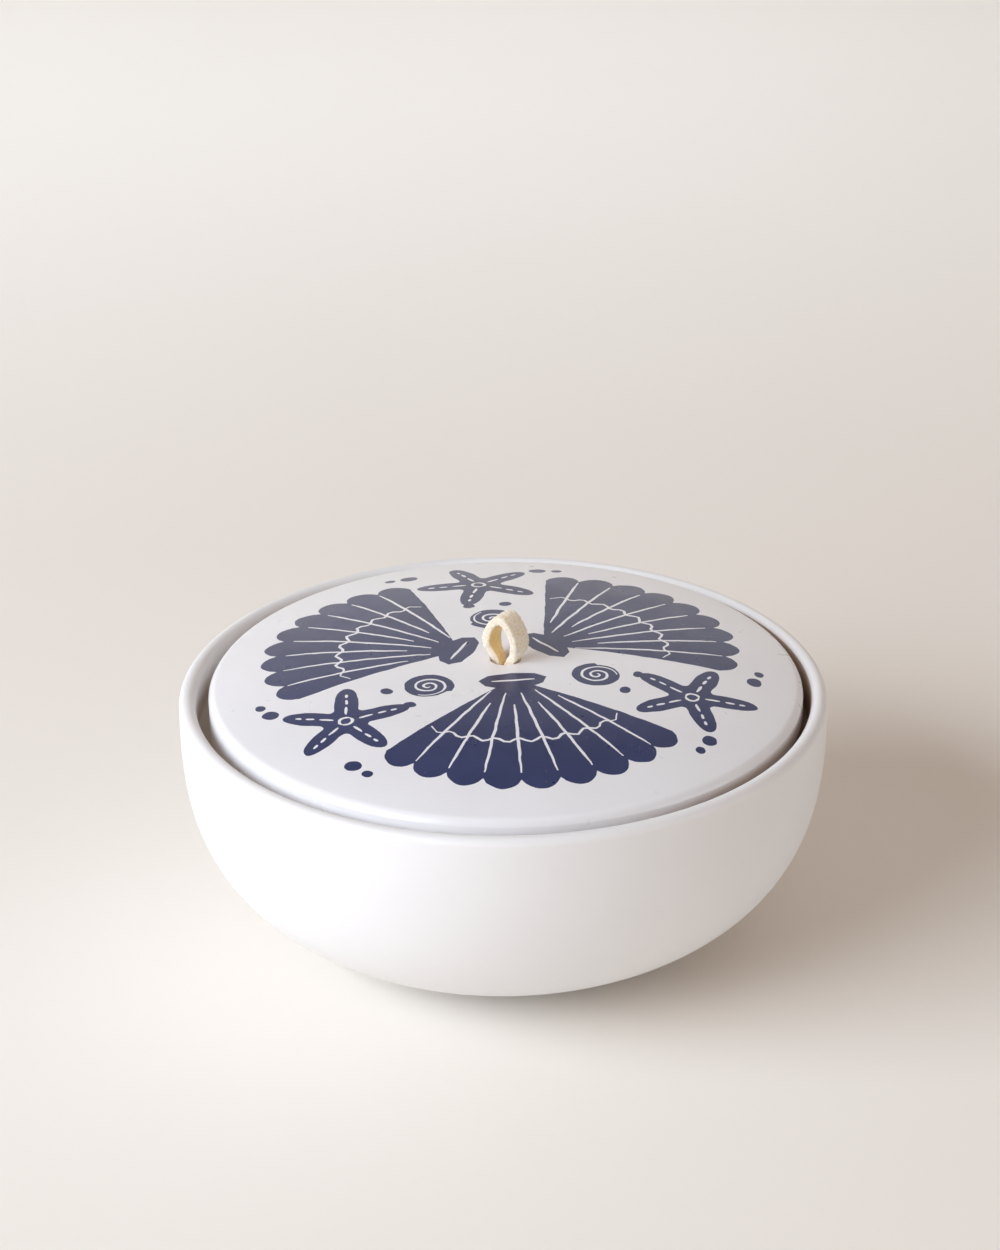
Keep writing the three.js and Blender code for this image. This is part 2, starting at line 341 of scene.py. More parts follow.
def bisque(name):
    """Bare fired clay where the foot stands and the lid sits. Down the gallery a pale wash fades into darker
    clay, partly glaze and partly painted shade; towards the right the clay is painted browner and darker,
    painted shade where the lid shades the wall.
    """
    clay_dark, clay_pale = rgba(0.72, 0.62, 0.53), rgba(0.82, 0.73, 0.64)
    # The brown tint is painted shade for the side of the gallery that the lid shades; the pale tint is
    # partly a wash of glaze, partly painted light near the rim
    wash_and_shade_tint, painted_shade_tint = rgba(0.84, 0.81, 0.79), rgba(0.45, 0.31, 0.22)
    painted_shade_most = 0.85
    shaded_side = (math.cos(CAMERA_TURN), math.sin(CAMERA_TURN), 0.0)
    n = Surface(name)
    grain = n.noise(0.25, detail=4.0, roughness=0.7)
    clay = n.mix(grain, clay_dark, clay_pale)
    height = n.add("ShaderNodeSeparateXYZ", {0: n.place}).outputs["Z"]
    # paler near the rim and darker deeper down: partly a wash of glaze, partly painted shade of the gallery
    wash_and_shade = n.ramp(height, (BOWL_HEIGHT - WASH_AND_SHADE_LOW) * MM, (BOWL_HEIGHT - WASH_AND_SHADE_HIGH) * MM)
    washed_and_shaded = n.mix(wash_and_shade, clay, wash_and_shade_tint)
    # painted shade: browner and darker towards the right as the camera sees it, where the lid shades the
    # gallery wall
    inputs = {0: n.place, 1: shaded_side}
    across = n.add("ShaderNodeVectorMath", inputs, operation="DOT_PRODUCT").outputs["Value"]
    painted_shade = n.ramp(across, PAINTED_SHADE_START * MM, PAINTED_SHADE_END * MM, 0.0, painted_shade_most)
    colour = n.mix(painted_shade, washed_and_shaded, painted_shade_tint)
    return n.finish(colour, n.ramp(grain, 0.2, 0.8, 0.75, 0.95), grain, depth_mm=0.05)


def suede(name):
    """Undyed leather: pale nap outside, honey-coloured grain on the inner side, raw at the edges."""
    nap_dark, nap_pale, nap_warm = rgba(0.92, 0.66, 0.44), rgba(1.0, 0.88, 0.73), rgba(1.0, 0.8, 0.58)
    grain_dark, grain_pale = rgba(0.98, 0.68, 0.36), rgba(1.0, 0.78, 0.48)
    blotch_relief = 0.6
    glow = {"Subsurface_Weight": 0.6, "Subsurface_Scale": MM, "Subsurface_Radius": (3.5, 3.5, 3.5)}
    n = Surface(name)
    side = n.add("ShaderNodeAttribute", attribute_name="inner_side").outputs["Fac"]
    fibre = n.noise(0.42, detail=4.0, roughness=0.7)
    blotch = n.noise(1.6, detail=3.0)
    outer = n.mix(n.ramp(fibre, 0.36, 0.54), nap_dark, nap_pale)
    outer = n.mix(n.ramp(blotch, 0.4, 0.8, 0.0, 0.3), outer, nap_warm)
    inner = n.mix(n.ramp(fibre, 0.3, 0.6), grain_dark, grain_pale)
    colour = n.mix(side, outer, inner)
    height = n.math("ADD", fibre, n.math("MULTIPLY", blotch, blotch_relief))
    rough = n.ramp(fibre, 0.3, 0.7, 0.85, 0.97)
    return n.finish(colour, rough, height, depth_mm=0.14, Specular_IOR_Level=0.2, **glow)


def paper(name):
    """Matt paper with a very faint, wide clouding."""
    deep, pale = rgba(0.935, 0.896, 0.838), rgba(0.95, 0.911, 0.853)
    n = Surface(name)
    colour = n.mix(n.ramp(n.noise(220.0), 0.3, 0.7), deep, pale)
    rough = n.ramp(n.noise(6.0), 0.3, 0.7, 0.88, 0.96)
    return n.finish(colour, rough, Specular_IOR_Level=0.2)


BOWL_GLAZE = glaze(
    "bowl_glaze",
    pale=rgba(0.865, 0.86, 0.868),
    deep=rgba(0.853, 0.848, 0.856),
    dot=rgba(0.7, 0.69, 0.68),
    roughness=0.42,
    dot_spacing=4.0,
    dot_radius=0.05,
    dot_share=0.08,
)
LID_GLAZE = glaze(
    "lid_glaze",
    pale=rgba(0.872, 0.87, 0.895),
    deep=rgba(0.852, 0.85, 0.875),
    dot=rgba(0.55, 0.55, 0.58),
    roughness=0.3,
    dot_spacing=2.4,
    dot_radius=0.06,
    dot_share=0.1,
)
LID_PRINT = glaze(
    "lid_print",
    pale=rgba(0.024, 0.036, 0.126),
    deep=rgba(0.018, 0.028, 0.104),
    dot=rgba(0.2, 0.2, 0.3),
    roughness=0.3,
    dot_spacing=1.3,
    dot_radius=0.12,
    dot_share=0.22,
)
BARE_CLAY = bisque("bare_clay")
LEATHER = suede("lace_leather")


# Bowl

FOOT_ANGLE = math.acos((FOOT_RADIUS / BOWL_RADIUS) ** (BELLY_FULL / 2))
BELLY_TOP_Z = BOWL_HEIGHT - RIM_WALL / 2
BELLY_DEPTH = (BELLY_TOP_Z - FOOT_HEIGHT) / math.sin(FOOT_ANGLE) ** (2 / BELLY_UPRIGHT)
HEEL_WALL = FLOOR_Z - (BELLY_TOP_Z - BELLY_DEPTH)


def belly(angle):
    """The outside of the wall, a superellipse from the rim to below the foot."""
    radius = BOWL_RADIUS * max(math.cos(angle), 0.0) ** (2 / BELLY_FULL)
    return Vector((radius, BELLY_TOP_Z - BELLY_DEPTH * math.sin(angle) ** (2 / BELLY_UPRIGHT)))


def inside(angle):
    """The inside of the wall: the belly moved in along its normal."""
    nearby = 1e-4
    along = (belly(angle + nearby) - belly(angle - nearby)).normalized()
    wall = BOWL_WALL + (HEEL_WALL - BOWL_WALL) * math.sin(angle) ** HEEL_POWER
    return belly(angle) + Vector((along.y, -along.x)) * wall


def inside_angle_at(z):
    """The angle at which the inside of the wall is at height z, found by halving."""
    low, high = 0.01, math.pi / 2 - 0.01
    for _ in range(40):
        middle = (low + high) / 2
        if inside(middle).y > z:
            low = middle
        else:
            high = middle
    return low


def foot_profile():
    """From the middle of the underside out over the foot ring."""
    foot_steps = 6
    foot_inner = FOOT_RADIUS - FOOT_WIDTH
    hollow = foot_inner - FOOT_RECESS
    profile = [(0, FOOT_RECESS), (foot_inner / 2, FOOT_RECESS)]
    profile += bezier(
        (hollow, FOOT_RECESS),
        (foot_inner - FOOT_RECESS * 0.4, FOOT_RECESS),
        (foot_inner, FOOT_RECESS * 0.8),
        (foot_inner, FOOT_ROUND),
        ROUND_STEPS,
    )
    profile += arc(foot_inner + FOOT_ROUND, FOOT_ROUND, FOOT_ROUND, 180, 270, foot_steps)[1:]
    profile += arc(FOOT_RADIUS - FOOT_ROUND, FOOT_ROUND, FOOT_ROUND, 270, 360, foot_steps)
    return profile


def gallery_profile():
    """From the rim's inner side over the ledge, and down its underside."""
    rim_inner = BOWL_RADIUS - RIM_WALL
    ledge_z = BOWL_HEIGHT - GALLERY_DEPTH
    ledge_inner = LID_RADIUS - GALLERY_REACH
    profile = arc(rim_inner - GALLERY_ROUND, ledge_z + GALLERY_ROUND, -GALLERY_ROUND, 180, 90, ROUND_STEPS)
    profile += arc(ledge_inner + GALLERY_ROUND, ledge_z - GALLERY_ROUND, GALLERY_ROUND, 90, 180, ROUND_STEPS)
    profile.append((ledge_inner, ledge_z - GALLERY_ROUND - GALLERY_NOSE))
    return profile


def bowl_profile():
    """From the middle of the underside round the wall and the gallery to the middle of the floor."""
    nearby = 1e-3
    profile = foot_profile()
    for i in range(WALL_STEPS):
        profile.append(tuple(belly(FOOT_ANGLE * (1 - i / WALL_STEPS))))
    profile += arc(BOWL_RADIUS - RIM_WALL / 2, BELLY_TOP_Z, RIM_WALL / 2, 0, 180, RIM_STEPS)
    profile += gallery_profile()
    nose_r, nose_z = profile[-1]
    haunch_angle = inside_angle_at(nose_z - GALLERY_HAUNCH)
    haunch_foot = inside(haunch_angle)
    wall_up = (inside(haunch_angle - nearby) - haunch_foot).normalized() * (GALLERY_HAUNCH / 2)
    profile += bezier(
        (nose_r, nose_z),
        (nose_r, nose_z - GALLERY_HAUNCH / 2),
        tuple(haunch_foot + wall_up),
        tuple(haunch_foot),
        RIM_STEPS,
    )[1:]
    for i in range(1, WALL_STEPS):
        profile.append(tuple(inside(haunch_angle + (math.pi / 2 - haunch_angle) * i / WALL_STEPS)))
    profile.append((0, FLOOR_Z))
    return profile


def is_bare(point):
    """Whether a point of the bowl has no glaze: under the foot and on the lid's seat."""
    x, y, z = point
    on_foot = z < FOOT_BARE
    beside_lid = z > BOWL_HEIGHT - GALLERY_DEPTH - GALLERY_ROUND
    return on_foot or (beside_lid and math.hypot(x, y) < BOWL_RADIUS - RIM_GLAZED + SLACK)


def make_bowl():
    vertices, faces = revolve(bowl_profile())
    slots = [int(all(is_bare(vertices[v]) for v in face)) for face in faces]
    bowl = mesh_object("bowl_shell", vertices, faces, [BOWL_GLAZE, BARE_CLAY], slots)
    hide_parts("bowl")
    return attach(bowl, "base")


# The print on the lid: shells and sea stars in navy, cut with thin white lines.
# Each motif gives its navy outlines and its white lines. Its own sizes are shares of its size.

LINE_WIDTH = 0.55
WAVER_SEED = 1  # keeps the wavering of the outlines the same each run


def turned(points, angle, x, y):
    """Points turned by angle and moved to x, y."""
    c, s = math.cos(angle), math.sin(angle)
    return [(x + c * px - s * py, y + s * px + c * py) for px, py in points]


def line(points, width=LINE_WIDTH):
    """A thin closed outline along points, drawn in towards both ends as a cutting tool leaves it."""
    end_width = 0.45
    ends_per_line = 6
    left, right = [], []
    for i, (x, y) in enumerate(points):
        ax, ay = points[max(i - 1, 0)]
        bx, by = points[min(i + 1, len(points) - 1)]
        length = math.hypot(bx - ax, by - ay)
        share = min(i, len(points) - 1 - i) / (len(points) - 1)
        half = width / 2 * (end_width + (1 - end_width) * min(1.0, share * ends_per_line))
        nx, ny = -(by - ay) / length * half, (bx - ax) / length * half
        left.append((x + nx, y + ny))
        right.append((x - nx, y - ny))
    return right + left[::-1]


def ring(radius, steps=28):
    """A thin white ring about the origin, as two half lines."""
    halves = []
    for start in (0.0, math.pi):
        halves.append(line([polar(radius, start + math.pi * i / steps) for i in range(steps + 1)]))
    return halves


def scallop(size, lobes=9, spread=math.radians(48)):
    """A fan shell standing on its hinge at the origin, opening towards +Y."""
    hinge = ((0.0, -0.015), (0.11, 0.0), (0.16, 0.045), (0.135, 0.1), (0.09, 0.125))
    lobe_root, lobe_depth, lobe_full = 0.93, 0.07, 0.7
    side_drop = 0.06
    long_rib, short_rib, rib_end = 0.19, 0.3, 0.88
    growth_reach, growth_wave, growth_spread = 0.62, 0.016, 0.93
    bar_half, bar_height = 0.1 * size, 0.06 * size
    lobe_steps = 10 * lobes
    growth_half = 20

    def fan(reach, angle):
        return (reach * math.sin(angle), reach * math.cos(angle))

    outline = [(size * x, size * y) for x, y in hinge]
    for i in range(lobe_steps + 1):
        angle = spread - 2 * spread * i / lobe_steps
        lobe = abs(math.sin(math.pi * lobes * i / lobe_steps))
        reach = size * (lobe_root + lobe_depth * lobe**lobe_full)
        outline.append(fan(reach * (1 - side_drop * (angle / spread) ** 2), angle))
    outline += [(-size * x, size * y) for x, y in hinge[:0:-1]]
    lines = []
    for k in range(1, lobes):
        angle = spread - 2 * spread * k / lobes
        rib_start = long_rib if k % 2 else short_rib
        lines.append(line(straight(fan(rib_start * size, angle), fan(rib_end * size, angle))))
    growth = []
    for i in range(2 * growth_half + 1):
        share = 1 - i / growth_half
        wave = growth_reach + growth_wave * math.cos(lobes * math.pi * share)
        growth.append(fan(wave * size, spread * growth_spread * share))
    lines.append(line(growth))
    lines.append(line(straight((-bar_half, bar_height), (bar_half, bar_height))))
    return [outline], lines


def sea_star(size, arms=5):
    """A sea star with a row of short cuts along each arm."""
    middle, point_power = 0.36, 1.5
    cuts = ((0.2, 0.42), (0.5, 0.64), (0.71, 0.81))
    ring_radius = 0.1 * size

    def reach_at(angle):
        wave = (0.5 + 0.5 * math.cos(arms * angle)) ** point_power
        return size * (middle + (1 - middle) * wave)

    lines = []
    for k in range(arms):
        angle = TAU * k / arms
        for near, far in cuts:
            lines.append(line(straight(polar(near * size, angle), polar(far * size, angle), 4)))
    lines += ring(ring_radius)
    return [round_outline(24 * arms, reach_at)], lines


def moon_snail(size):
    """A round snail shell with its spiral cut in white."""
    mouth, mouth_rise = 0.84, 0.16
    turns, spiral_start, spiral_growth, spiral_power = 2.25, 0.07, 0.7, 1.25
    steps = 72
    spiral = []
    for i in range(steps + 1):
        reach = size * (spiral_start + spiral_growth * (i / steps) ** spiral_power)
        spiral.append(polar(reach, -turns * TAU * i / steps))
    outline = round_outline(64, lambda angle: size * (mouth + mouth_rise * (1 - angle / TAU)))
    return [outline], [line(spiral, LINE_WIDTH * 0.9)]


def pebble(size):
    """A small, slightly oval pebble."""
    oval, oval_turn = 0.1, 0.6
    return [round_outline(28, lambda angle: size * (1 + oval * math.cos(2 * angle + oval_turn)))], []


def closely(outline, longest=1.2):
    """A closed outline with points added where two lie far apart, so that it follows the dome."""
    points = []
    for start, end in zip(outline, outline[1:] + outline[:1]):
        steps = math.ceil(math.dist(start, end) / longest)
        points += straight(start, end, max(1, steps))[:-1]
    return points


def hand_cut(points):
    """An outline with the slight wavering of a hand-cut printing block."""
    waver = 0.16
    slow_rate = 0.4
    fine_rate, fine_share = 2.7, 0.5
    cut = []
    for x, y in points:
        place = Vector((x, y, 0)) * slow_rate
        shift = noise.noise_vector(place) + fine_share * noise.noise_vector(place * fine_rate)
        cut.append((x + waver * shift.x, y + waver * shift.y))
    return cut


def print_layout():
    """Navy outlines and white lines of the whole print, in millimetres on the lid."""
    groups = 3
    lean = math.radians(8)
    shell_size, shell_distance = 39.5, 7.0
    star_size, star_distance, star_turn = 12.0, 36.5, 0.3
    snail_size, snail_distance, snail_turn = 4.8, 18.0, 2.0
    pebbles = ((1.5, 16, 46.0), (1.0, 20.5, 46.8), (1.1, 8, 25.0))  # size, degrees aside, distance
    navy, white = [], []
    noise.seed_set(WAVER_SEED)

    def put(motif, turn, bearing, distance):
        """Places a motif at a distance from the lid's centre, in the direction bearing."""
        x, y = polar(distance, bearing)
        for outline in motif[0]:
            navy.append(hand_cut(turned(closely(outline), turn, x, y)))
        for cut in motif[1]:
            white.append(hand_cut(turned(closely(cut), turn, x, y)))

    first = CAMERA_TURN - math.pi / 2 + lean
    for k in range(groups):
        bearing = first + k * TAU / groups
        between = bearing + math.pi / groups
        put(scallop(shell_size), bearing - math.pi / 2, bearing, shell_distance)
        put(sea_star(star_size), between + star_turn, between, star_distance)
        put(moon_snail(snail_size), between + snail_turn, between, snail_distance)
        for side in (-1, 1):
            for size, aside, distance in pebbles:
                put(pebble(size), bearing, between + side * math.radians(aside), distance)
    return navy, white


# Lid

DOME_SAG = LID_RISE - LID_DROP
PRINT_RADIUS = LID_RADIUS - LID_SHOULDER
GLAZE_SLOT, PRINT_SLOT, CLAY_SLOT = 0, 1, 2


def dome(r, depth=0.0):
    """A point of the lid's top, or of a like surface at a depth below it, at a radius."""
    return (r, CROWN_Z - DOME_SAG * (r / LID_RADIUS) ** LID_FULL - depth)


def lid_turn(steps):
    """The curve from the dome down to the widest circle, with a little draft under the shoulder."""
    edge = Vector((LID_RADIUS, EDGE_Z))
    top = Vector(dome(PRINT_RADIUS))
    slope = LID_FULL * DOME_SAG / LID_RADIUS * (PRINT_RADIUS / LID_RADIUS) ** (LID_FULL - 1)
    corner = top + Vector((1, -slope)) * (LID_SHOULDER - LID_DRAFT)
    return bezier(top, top.lerp(corner, LID_SHARPNESS), edge.lerp(corner, LID_SHARPNESS), edge, steps)


def lid_profile():
    """From the edge of the printed field, out over the edge, under the lid and up through the hole."""
    heel_steps = 10
    under_steps = 30
    bearing_inner = LID_RADIUS - LID_HEEL - BEARING_WIDTH
    hollow = bearing_inner - BEARING_SLOPE
    ease = BEARING_SLOPE * 0.6
    slope_top = dome(hollow, LID_THICKNESS)
    profile = lid_turn(SHOULDER_STEPS)
    profile.append((LID_RADIUS, EDGE_Z - LID_GLAZED_EDGE))
    profile += arc(LID_RADIUS - LID_HEEL, SEAT_Z + LID_HEEL, LID_HEEL, 0, -90, heel_steps)
    profile += bezier(
        (bearing_inner, SEAT_Z),
        (bearing_inner - ease, SEAT_Z),
        (hollow + ease, slope_top[1]),
        slope_top,
        heel_steps,
    )
    for i in range(1, under_steps + 1):
        profile.append(dome(hollow + (HOLE_EDGE - hollow) * i / under_steps, LID_THICKNESS))
    under_z = dome(HOLE_EDGE, LID_THICKNESS)[1]
    top_z = dome(HOLE_EDGE)[1]
    profile += arc(HOLE_EDGE, under_z + HOLE_ROUND, HOLE_ROUND, 270, 180, ROUND_STEPS)[1:]
    profile += arc(HOLE_EDGE, top_z - HOLE_ROUND, HOLE_ROUND, 180, 90, ROUND_STEPS)
    return profile


def field_points():
    """Points spread evenly over the printed field, in rings."""
    spacing = 1.6
    fewest = 24
    points = []
    rings = int((PRINT_RADIUS - HOLE_EDGE) / spacing)
    for i in range(1, rings):
        radius = HOLE_EDGE + (PRINT_RADIUS - HOLE_EDGE) * i / rings
        count = max(fewest, int(TAU * radius / spacing))
        for k in range(count):
            points.append(polar(radius, TAU * (k + 0.5 * (i % 2)) / count))
    return points


def printed_field():
    """The top of the lid cut along the print's outlines: points, triangles and a slot for each."""
    in_hole = HOLE_EDGE * 0.999
    join_distance = 1e-5
    navy, white = print_layout()
    points, edges, faces = [], [], []

    def add_points(outline):
        first = len(points)
        points.extend(Vector(p) for p in outline)
        return list(range(first, len(points)))

    for outline in navy + white:
        faces.append(add_points(outline))
    for radius in (PRINT_RADIUS, HOLE_EDGE):
        ids = add_points(round_outline(RING_SEGMENTS, lambda angle: radius))
        edges.extend(zip(ids, ids[1:] + ids[:1]))
    add_points(field_points())
    flat, _, triangles, _, _, owners = delaunay_2d_cdt(points, edges, faces, 0, join_distance)
    vertices = [(p.x, p.y, dome(p.length)[1]) for p in flat]
    kept, slots = [], []
    for triangle, owner in zip(triangles, owners):
        centre = sum((flat[v] for v in triangle), Vector((0, 0))) / 3
        if centre.length < in_hole:
            continue
        kept.append(triangle)
        in_navy = any(o < len(navy) for o in owner)
        in_white = any(o >= len(navy) for o in owner)
        slots.append(PRINT_SLOT if in_navy and not in_white else GLAZE_SLOT)
    return vertices, kept, slots


def make_lid():
    weld_distance = 2e-6
    glaze_end = EDGE_Z - LID_GLAZED_EDGE + SLACK
    skirt = LID_RADIUS - LID_HEEL - BEARING_WIDTH - SLACK
    vertices, faces = revolve(lid_profile())

    def is_bare_seat(v):
        x, y, z = vertices[v]
        return z < glaze_end and math.hypot(x, y) > skirt

    slots = [CLAY_SLOT if all(is_bare_seat(v) for v in face) else GLAZE_SLOT for face in faces]
    top_vertices, top_faces, top_slots = printed_field()
    offset = len(vertices)
    vertices += top_vertices
    faces += [[v + offset for v in face] for face in top_faces]
    slots += top_slots
    placed = [(x + LID_CENTRE_X, y + LID_CENTRE_Y, z) for x, y, z in vertices]
    materials = [LID_GLAZE, LID_PRINT, BARE_CLAY]
    lid = mesh_object("lid_shell", placed, faces, materials, slots, merge=weld_distance)
    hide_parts("lid")
    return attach(lid, "cover")


# Lace

def strap_outline(width, thickness, corner, edge_steps, face_steps):
    """A flat strap's section as points along its width and its thickness."""
    corner_steps = 4
    x, y = width / 2 - corner, thickness / 2 - corner
    corners = ((x, y), (-x, y), (-x, -y), (x, -y))
    outline = []
    for k, (cx, cy) in enumerate(corners):
        outline += arc(cx, cy, corner, 90 * k, 90 * k + 90, corner_steps)
        nx, ny = corners[(k + 1) % len(corners)]
        end_angle = math.radians(90 * k + 90)
        end = (nx + corner * math.cos(end_angle), ny + corner * math.sin(end_angle))
        steps = face_steps if k % 2 == 0 else edge_steps
        outline += straight(outline[-1], end, steps)[1:-1]
    return outline


def strap(points, across, outline, widen, thicken):
    """Points and faces of a closed strap carried along points, and how far each faces the inner side.

    At point i, widen(i) scales the outline's width and thicken(i) its thickness.
    """
    inner_layers = 8  # the inner side is the last of this many layers from the middle
    vertices, faces, sides = [], [], []
    count = len(outline)
    half = max(abs(y) for _, y in outline)
    for i, point in enumerate(points):
        before, after = points[max(i - 1, 0)], points[min(i + 1, len(points) - 1)]
        along = (after - before).normalized()
        through = along.cross(across).normalized()
        wide = through.cross(along)
        for x, y in outline:
            vertices.append(point + wide * (widen(i) * x) + through * (thicken(i) * y))
            sides.append(max(0.0, min(1.0, -y / half * inner_layers - (inner_layers - 1))))
    for i in range(len(points) - 1):
        for j in range(count):
            a, b = i * count + j, i * count + (j + 1) % count
            faces.append((a, b, b + count, a + count))
    last = (len(points) - 1) * count
    faces.append(tuple(reversed(range(count))))
    faces.append(tuple(range(last, last + count)))
    return vertices, faces, sides


def evenly(points, step):
    """Points along a line at an even spacing."""
    lengths = [0.0]
    for a, b in zip(points, points[1:]):
        lengths.append(lengths[-1] + (b - a).length)
    count = max(2, round(lengths[-1] / step))
    even, k = [], 0
    for i in range(count + 1):
        target = lengths[-1] * i / count
        while k < len(points) - 2 and lengths[k + 1] < target:
            k += 1
        span = lengths[k + 1] - lengths[k]
        even.append(points[k].lerp(points[k + 1], (target - lengths[k]) / span if span else 0.0))
    return even


def lace_line(knot_bottom):
    """The centre line from one tail's end over the loop to the other's, as in the CAD model."""
    tail_z = knot_bottom - TAIL_LENGTH
    neck_z = CROWN_Z - LOOP_NECK
    belly_x = (LOOP_WIDTH - LACE_THICKNESS) / 2
    belly_z = CROWN_Z + LOOP_BELLY
    tip_z = CROWN_Z + LOOP_HEIGHT - LACE_THICKNESS / 2
    half = bezier(
        (TAIL_SPREAD, tail_z),
        ((TAIL_SPREAD + STRAND_X) / 2, tail_z + TAIL_LENGTH / 3),
        (STRAND_X, knot_bottom - TAIL_LENGTH / 3),
        (STRAND_X, knot_bottom),
        LOOP_STEPS,
    )
    half += bezier(
        (STRAND_X, neck_z),
        (STRAND_X, neck_z + LOOP_EASE),
        (belly_x, belly_z - LOOP_SAG),
        (belly_x, belly_z),
        LOOP_STEPS,
    )
    half += bezier(
        (belly_x, belly_z),
        (belly_x, belly_z + LOOP_CREST),
        (LOOP_TIP, tip_z),
        (0, tip_z),
        LOOP_STEPS,
    )[1:]
    left = [Vector((-x, 0, z)) for x, z in half]
    right = [Vector((x, 0, z)) for x, z in reversed(half)]
    return left + right[1:]


def smoothstep(value, low, high):
    share = max(0.0, min(1.0, (value - low) / (high - low)))
    return share * share * (3 - 2 * share)


def lace_width_at(z, knot_bottom):
    """The lace's width at a height: full in the loop and at the tails' ends, squeezed between."""
    up = smoothstep(z, CROWN_Z, CROWN_Z + LOOP_BELLY)
    down = smoothstep(knot_bottom - z, 0, TAIL_LENGTH)
    return LACE_NECK + (LACE_WIDTH - LACE_NECK) * max(up, down)


def wrap_swell(share):
    """How far the knot's wrap has swelled out of the core at a share of its length."""
    ease = math.sin(math.pi / 2 * min(1.0, min(share, 1 - share) / KNOT_TUCK))
    return KNOT_ROOT + (1 - KNOT_ROOT) * ease


def wrap_line(top_z, bundle):
    """The wrap of the knot, as in the CAD model."""
    reach_x = bundle - STRAND_GAP
    reach_y = (LACE_NECK + bundle) / 2 - STRAND_GAP
    drop = KNOT_TURNS * (KNOT_BAND + KNOT_TURN_GAP)
    points = []
    for i in range(WRAP_STEPS + 1):
        share = i / WRAP_STEPS
        angle = TAU * KNOT_TURNS * share
        out = wrap_swell(share)
        z = KNOT_TILT * math.sin(angle) - drop * share
        points.append(Vector((out * reach_x * math.cos(angle), out * reach_y * math.sin(angle), z)))
    highest = max(p.z for p in points)
    return [p + Vector((0, 0, top_z - highest)) for p in points]


def nap(vertices, normals):
    """Leather's uneven surface, a slow and a fine fibrous unevenness, kept inside the plain strap."""
    slow_rate, slow_depth = 0.7, 0.07
    fine_rate, fine_depth = 2.2, 0.1
    fine_decay, fine_step, fine_layers = 0.8, 2.1, 4
    sunk = 0.12
    rough = []
    for point, normal in zip(vertices, normals):
        slow = noise.noise(point * slow_rate) * slow_depth
        fine = noise.fractal(point * fine_rate, fine_decay, fine_step, fine_layers) * fine_depth
        rough.append(point + normal * (slow + fine - sunk))
    return rough


def lace_mesh():
    """Points and faces of the lace and of its knot's wrap, and how far each point faces inwards."""
    bundle = 2 * LACE_THICKNESS + STRAND_GAP
    wrap = wrap_line(CROWN_Z - LID_THICKNESS - KNOT_GAP - KNOT_BAND / 2, bundle)
    knot_bottom = min(p.z for p in wrap) - KNOT_BAND / 2
    centre = evenly(lace_line(knot_bottom), LACE_STEP)
    lace_outline = strap_outline(LACE_WIDTH, LACE_THICKNESS, LACE_CORNER, edge_steps=10, face_steps=36)
    wrap_outline = strap_outline(KNOT_BAND, bundle, KNOT_CORNER, edge_steps=12, face_steps=16)

    def squeeze(i):
        return lace_width_at(centre[i].z, knot_bottom) / LACE_WIDTH

    def swell(i):
        return wrap_swell(i / WRAP_STEPS)

    parts = [
        strap(centre, Vector((0, 1, 0)), lace_outline, squeeze, lambda i: 1.0),
        strap(wrap, Vector((0, 0, 1)), wrap_outline, swell, swell),
    ]
    vertices, faces, sides = [], [], []
    for part_vertices, part_faces, part_sides in parts:
        offset = len(vertices)
        vertices += part_vertices
        faces += [tuple(v + offset for v in face) for face in part_faces]
        sides += part_sides
    return vertices, faces, sides


def make_lace():
    vertices, faces, sides = lace_mesh()
    lace = mesh_object("lace", vertices, faces, [LEATHER])
    normals = [v.normal.copy() for v in lace.data.vertices]
    shift = Vector((LID_CENTRE_X, LID_CENTRE_Y, 0))
    for vertex, point in zip(lace.data.vertices, nap(vertices, normals)):
        vertex.co = (point + shift) * MM
    attribute = lace.data.attributes.new("inner_side", "FLOAT", "POINT")
    attribute.data.foreach_set("value", sides)
    lace.data.update()
    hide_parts("pull_loop")
    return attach(lace, "pull")


# Stage, light and camera. Places are in metres as the camera sees them: x to the right, y away.

def staged(x, y, z):
    return Matrix.Rotation(CAMERA_TURN, 4, "Z") @ Vector((x, y, z))


def make_stage():
    """A wide sheet of pale paper that runs back from the object and sweeps up well behind it."""
    front, back = -3.0, 1.0
    bend_radius, bend_steps = 0.3, 15
    top = 0.85
    half_width = 3.0
    section = [(front, 0.0), (0.0, 0.0)]
    section += arc(back, bend_radius, bend_radius, -90, 0, bend_steps)
    section.append((back + bend_radius, top))
    vertices, faces = [], []
    for y, z in section:
        for x in (-half_width, half_width):
            vertices.append(staged(x, y, z) / MM)
    for i in range(len(section) - 1):
        a = 2 * i
        faces.append((a, a + 1, a + 3, a + 2))
    mesh_object("paper_sweep", vertices, faces, [paper("paper")])


def soft_light(name, place, target, size, power, colour):
    """A rectangular lamp of a width and height in metres, with its power in watts."""
    lamp = bpy.data.lights.new(name, "AREA")
    lamp.shape = "RECTANGLE"
    lamp.size, lamp.size_y = size
    lamp.energy = power
    lamp.color = colour
    obj = bpy.data.objects.new(name, lamp)
    obj.location = place
    obj.rotation_euler = (target - place).to_track_quat("-Z", "Y").to_euler()
    bpy.context.scene.collection.objects.link(obj)


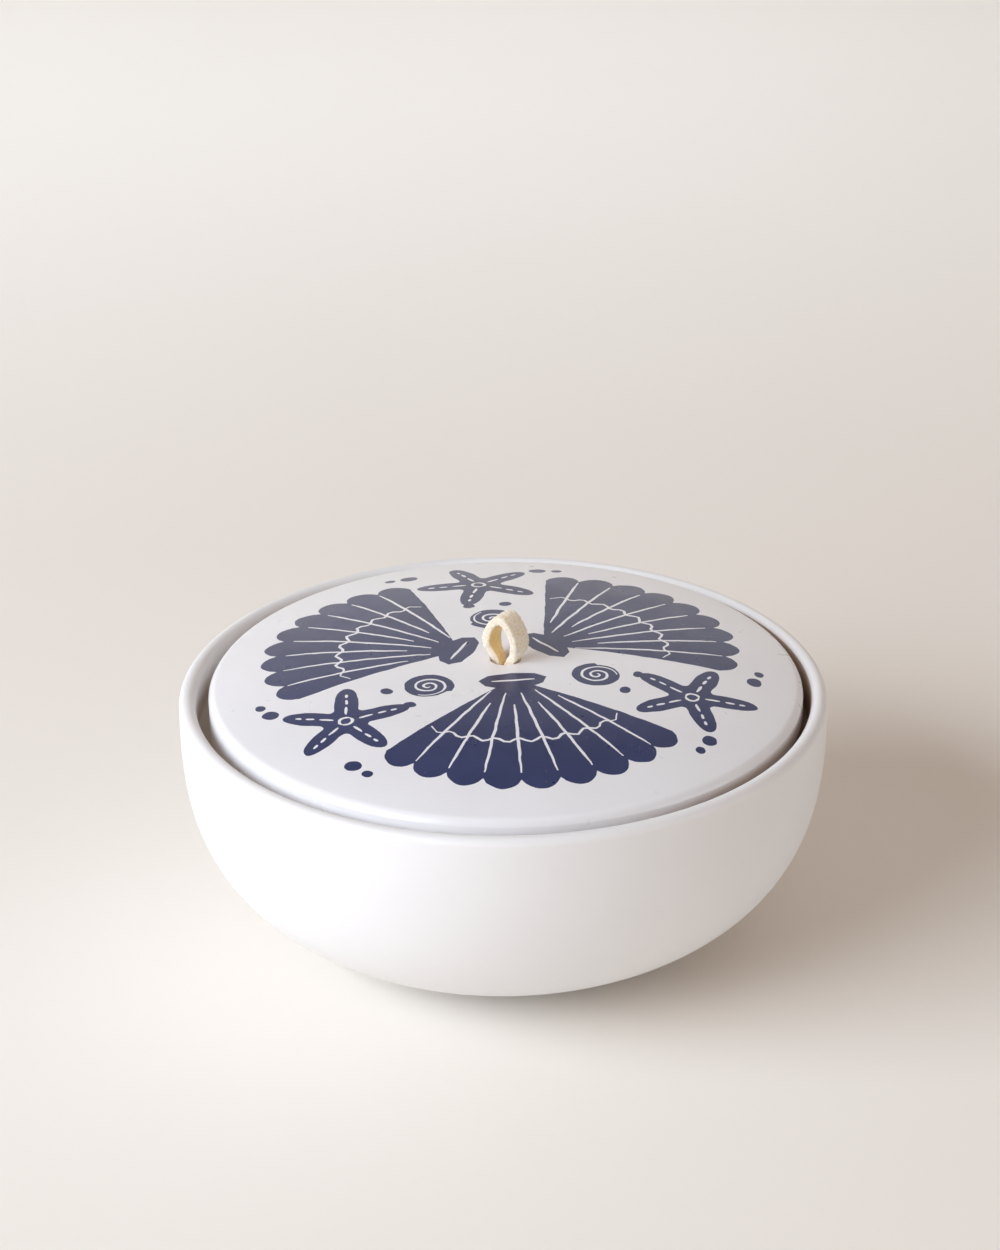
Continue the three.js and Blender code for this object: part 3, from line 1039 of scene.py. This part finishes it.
def make_world(fill, fill_strength, wall, ceiling):
    """A dim fill light from all round, seen by the camera and in gloss as pale walls and a dim ceiling."""
    wall_top, ceiling_start = math.radians(20), math.radians(38)
    world = bpy.data.worlds.new("studio")
    n = Nodes(world)
    lit = n.tree.nodes["Background"]
    lit.inputs["Color"].default_value = fill
    lit.inputs["Strength"].default_value = fill_strength
    direction = n.add("ShaderNodeTexCoord").outputs["Generated"]
    height = n.add("ShaderNodeSeparateXYZ", {0: direction}).outputs["Z"]
    upwards = n.ramp(height, math.sin(wall_top), math.sin(ceiling_start))
    seen = n.add("ShaderNodeBackground", {"Color": n.mix(upwards, wall, ceiling)})
    rays = n.add("ShaderNodeLightPath").outputs
    shown = rays["Is Camera Ray"]
    for kind in ("Is Glossy Ray", "Is Transmission Ray"):
        shown = n.math("MAXIMUM", shown, rays[kind])
    both = n.add("ShaderNodeMixShader", {0: shown, 1: lit.outputs[0], 2: seen.outputs[0]})
    n.feed(n.tree.nodes["World Output"].inputs["Surface"], both.outputs[0])
    bpy.context.scene.world = world


def make_light():
    box = Vector((0, 0, 0.03))
    far_floor = staged(-0.1, 1.42, 0.0)
    sweep = staged(-0.1, 1.3, 0.35)
    soft_light("window", staged(-1.07, -0.62, 0.7), box, (1.28, 0.75), 23.7, (0.818, 0.908, 1.0))
    soft_light("card", staged(1.6, -0.56, 0.33), box, (1.28, 0.64), 5.1, (0.78, 0.93, 1.0))
    soft_light("backdrop", staged(-0.1, 0.42, 0.5), far_floor, (0.6, 0.3), 1.4, (0.74, 0.88, 1.0))
    soft_light("sweep", staged(-0.1, 0.85, 0.5), sweep, (0.8, 0.3), 0.55, (0.88, 0.94, 1.0))
    soft_light("skylight", staged(0.0, 0.1, 1.2), box, (1.6, 1.6), 2.9, (0.63, 0.85, 0.97))
    make_world(
        fill=rgba(1.0, 0.62, 0.4),
        fill_strength=0.275,
        wall=rgba(0.95, 0.92, 0.89),
        ceiling=rgba(0.2, 0.16, 0.13),
    )


def make_camera():
    data = bpy.data.cameras.new("camera")
    data.sensor_width = SENSOR_MM
    data.lens = FOCAL_PIXELS / IMAGE_LONG_PIXELS * SENSOR_MM
    data.clip_start = 0.01
    camera = bpy.data.objects.new("camera", data)
    turn = Matrix.Rotation(CAMERA_TURN, 4, "Z")
    tilt = Matrix.Rotation(math.pi / 2 - CAMERA_PITCH, 4, "X")
    roll = Matrix.Rotation(CAMERA_ROLL, 4, "Z")
    camera.matrix_world = turn @ Matrix.Translation(CAMERA_PLACE) @ tilt @ roll
    bpy.context.scene.collection.objects.link(camera)
    bpy.context.scene.camera = camera


make_camera()
make_bowl()
make_lid()
make_lace()
make_stage()
make_light()
bpy.context.scene.view_settings.view_transform = "Standard"
